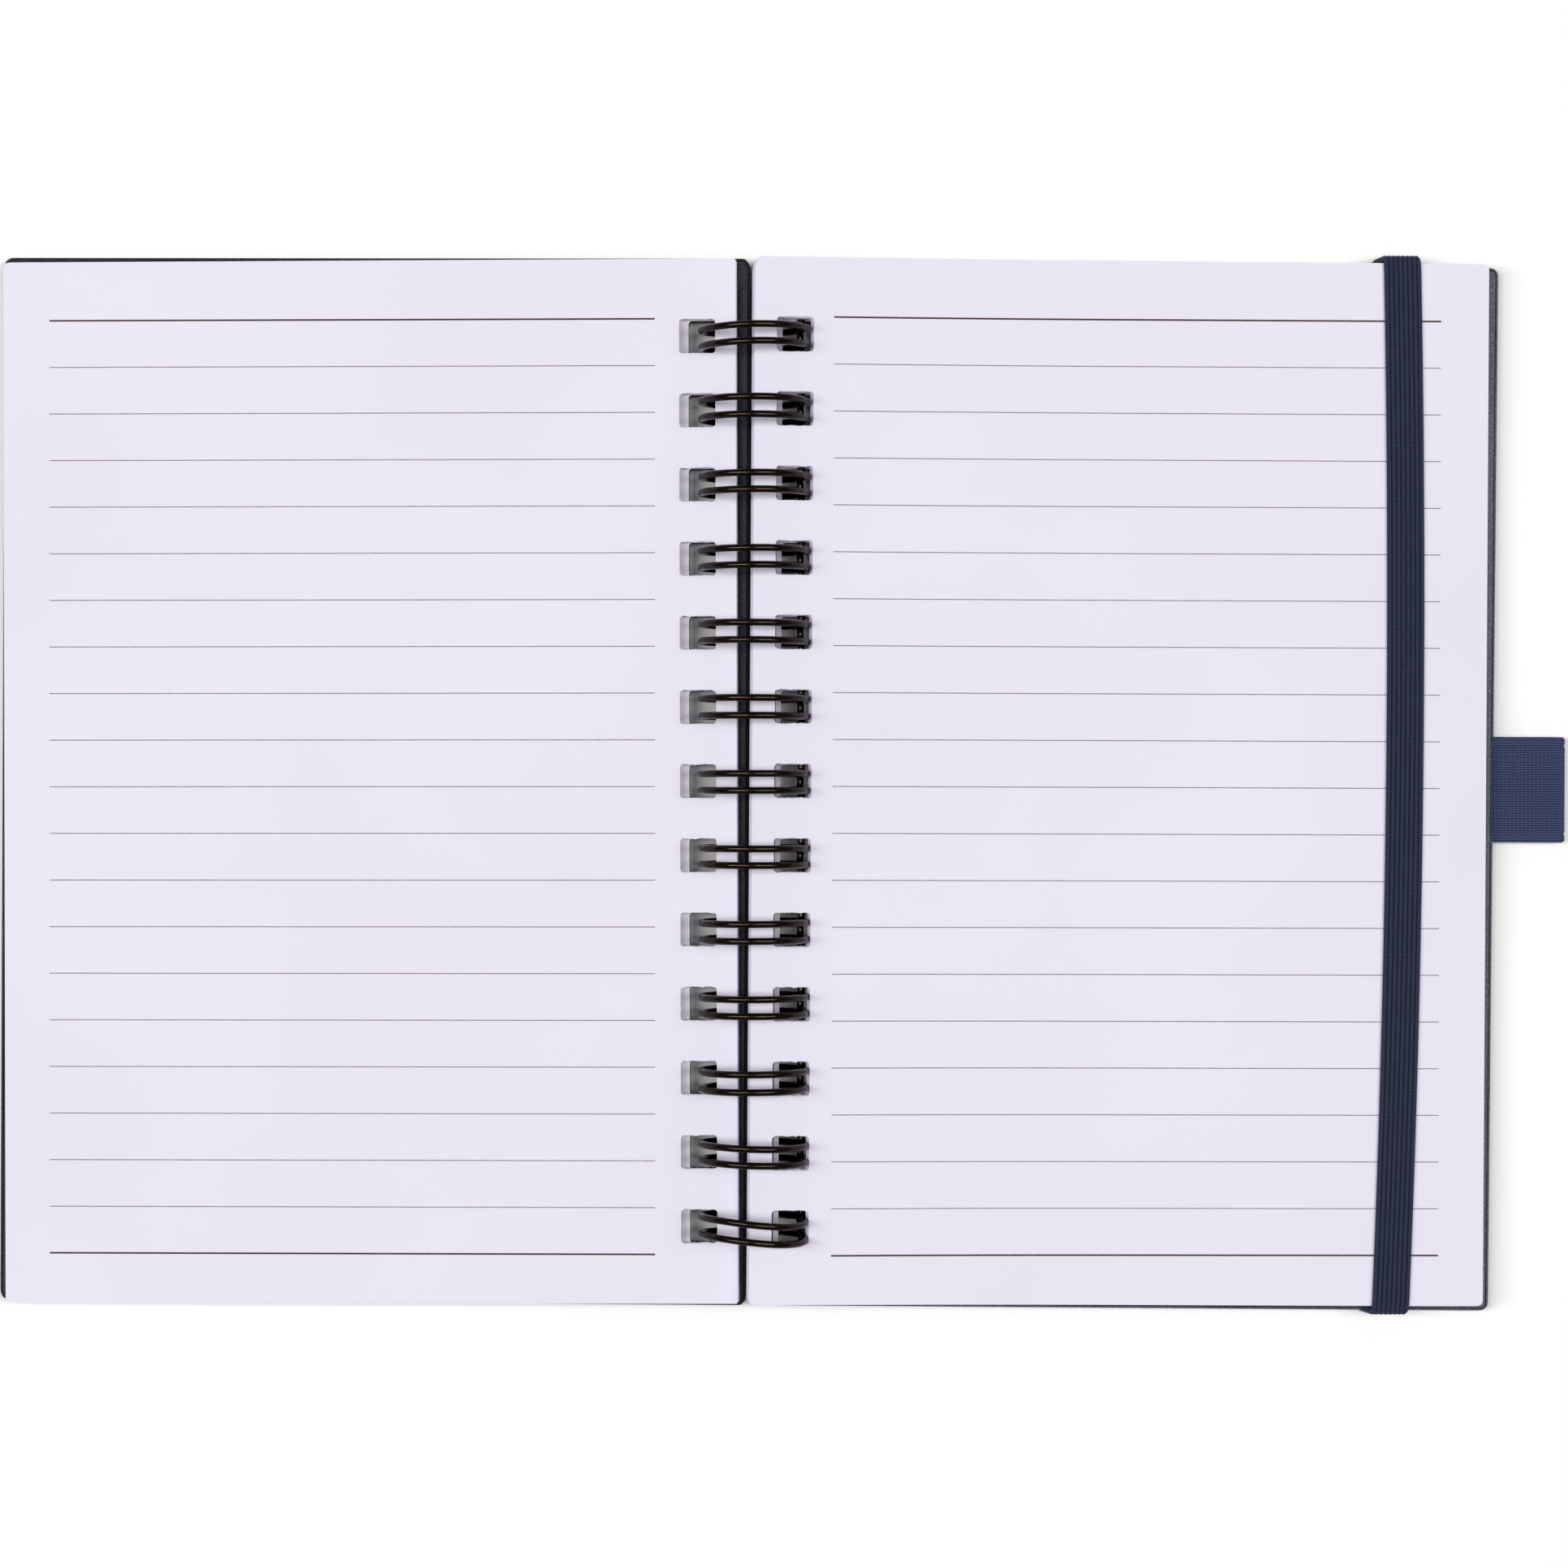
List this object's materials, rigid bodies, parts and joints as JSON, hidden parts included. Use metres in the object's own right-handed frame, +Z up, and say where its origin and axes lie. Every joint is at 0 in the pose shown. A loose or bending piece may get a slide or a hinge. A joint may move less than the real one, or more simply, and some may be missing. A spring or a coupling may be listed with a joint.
{
  "type": "open spiral notebook",
  "caption": "Hardcover twin-wire notebook lying open, with ruled pages, an elastic closing band round the right half and a pen loop at the fore edge.",
  "frame": {"origin": "on the table under the middle of the open notebook's outer box", "axes": "+X towards the right-hand page, +Y towards the head of the page, +Z up from the table"},
  "size_m": [0.2695, 0.1818, 0.019],
  "materials": {
    "board": "grained leatherette",
    "lining": "matt",
    "page": "matt",
    "ink": "matt",
    "elastic": "ribbed elastic",
    "webbing": "ribbed webbing",
    "wire": "gloss black coating"
  },
  "bodies": {
    "root": {"back_cover": "board", "back_lining": "lining", "right_pages": "page", "right_ruling": "ink", "elastic_band": "elastic", "pen_loop": "webbing", "binding_wire": "wire"},
    "left_pages": {"left_pages": "page", "left_ruling": "ink"},
    "front_cover": {"front_cover": "board", "front_lining": "lining"}
  },
  "joints": [
    {"name": "close_notebook", "type": "hinge", "parent": "root", "child": "left_pages", "pos_m": [-0.0054, 0, 0.0095], "axis": [0, 1, 0], "range_deg": [0, 183]},
    {"name": "front_cover_lift", "type": "hinge", "parent": "left_pages", "child": "front_cover", "pos_m": [-0.0054, 0, 0.0095], "axis": [0, 1, 0], "range_deg": [-8, 0]}
  ]
}
